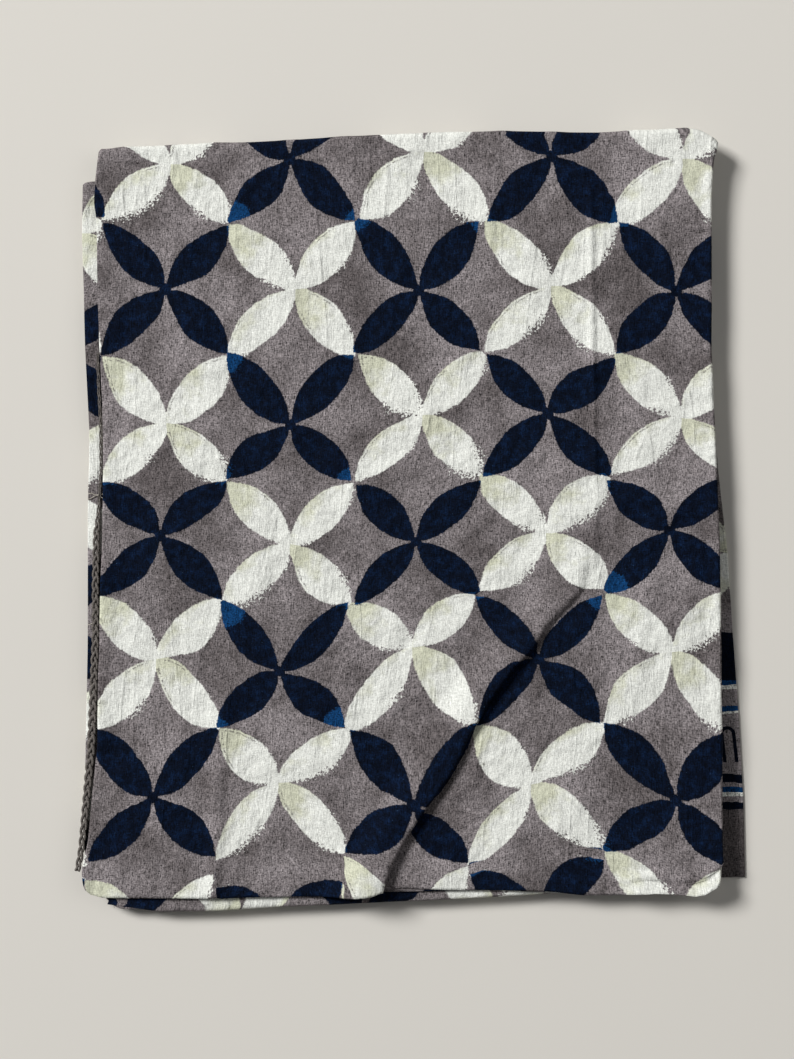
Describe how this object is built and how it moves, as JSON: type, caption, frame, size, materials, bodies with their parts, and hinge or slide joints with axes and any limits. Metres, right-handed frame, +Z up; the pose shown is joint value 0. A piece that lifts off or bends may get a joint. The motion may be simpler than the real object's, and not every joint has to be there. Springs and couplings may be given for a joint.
{
  "type": "folded printed fabric",
  "caption": "A length of thin cotton, printed in navy and white petals on grey, folded flat back and forth into a stack with a diagonal pleat and a loose plaited edging on its left side",
  "frame": {"origin": "bottom centre of the bounding box, on the surface that the stack rests on", "axes": "+Z up out of the stack, +Y from the open hem edge to the far fold, +X to the right as seen from above"},
  "size_m": [0.3008, 0.3526, 0.0181],
  "materials": {
    "printed_cotton": "plain-weave slub cotton, printed in navy and off-white on grey",
    "plaited_edging": "grey cotton yarn, looped and plaited"
  },
  "bodies": {
    "root": {"folded_cloth": "printed_cotton", "selvedge_braid": "plaited_edging"}
  },
  "joints": []
}
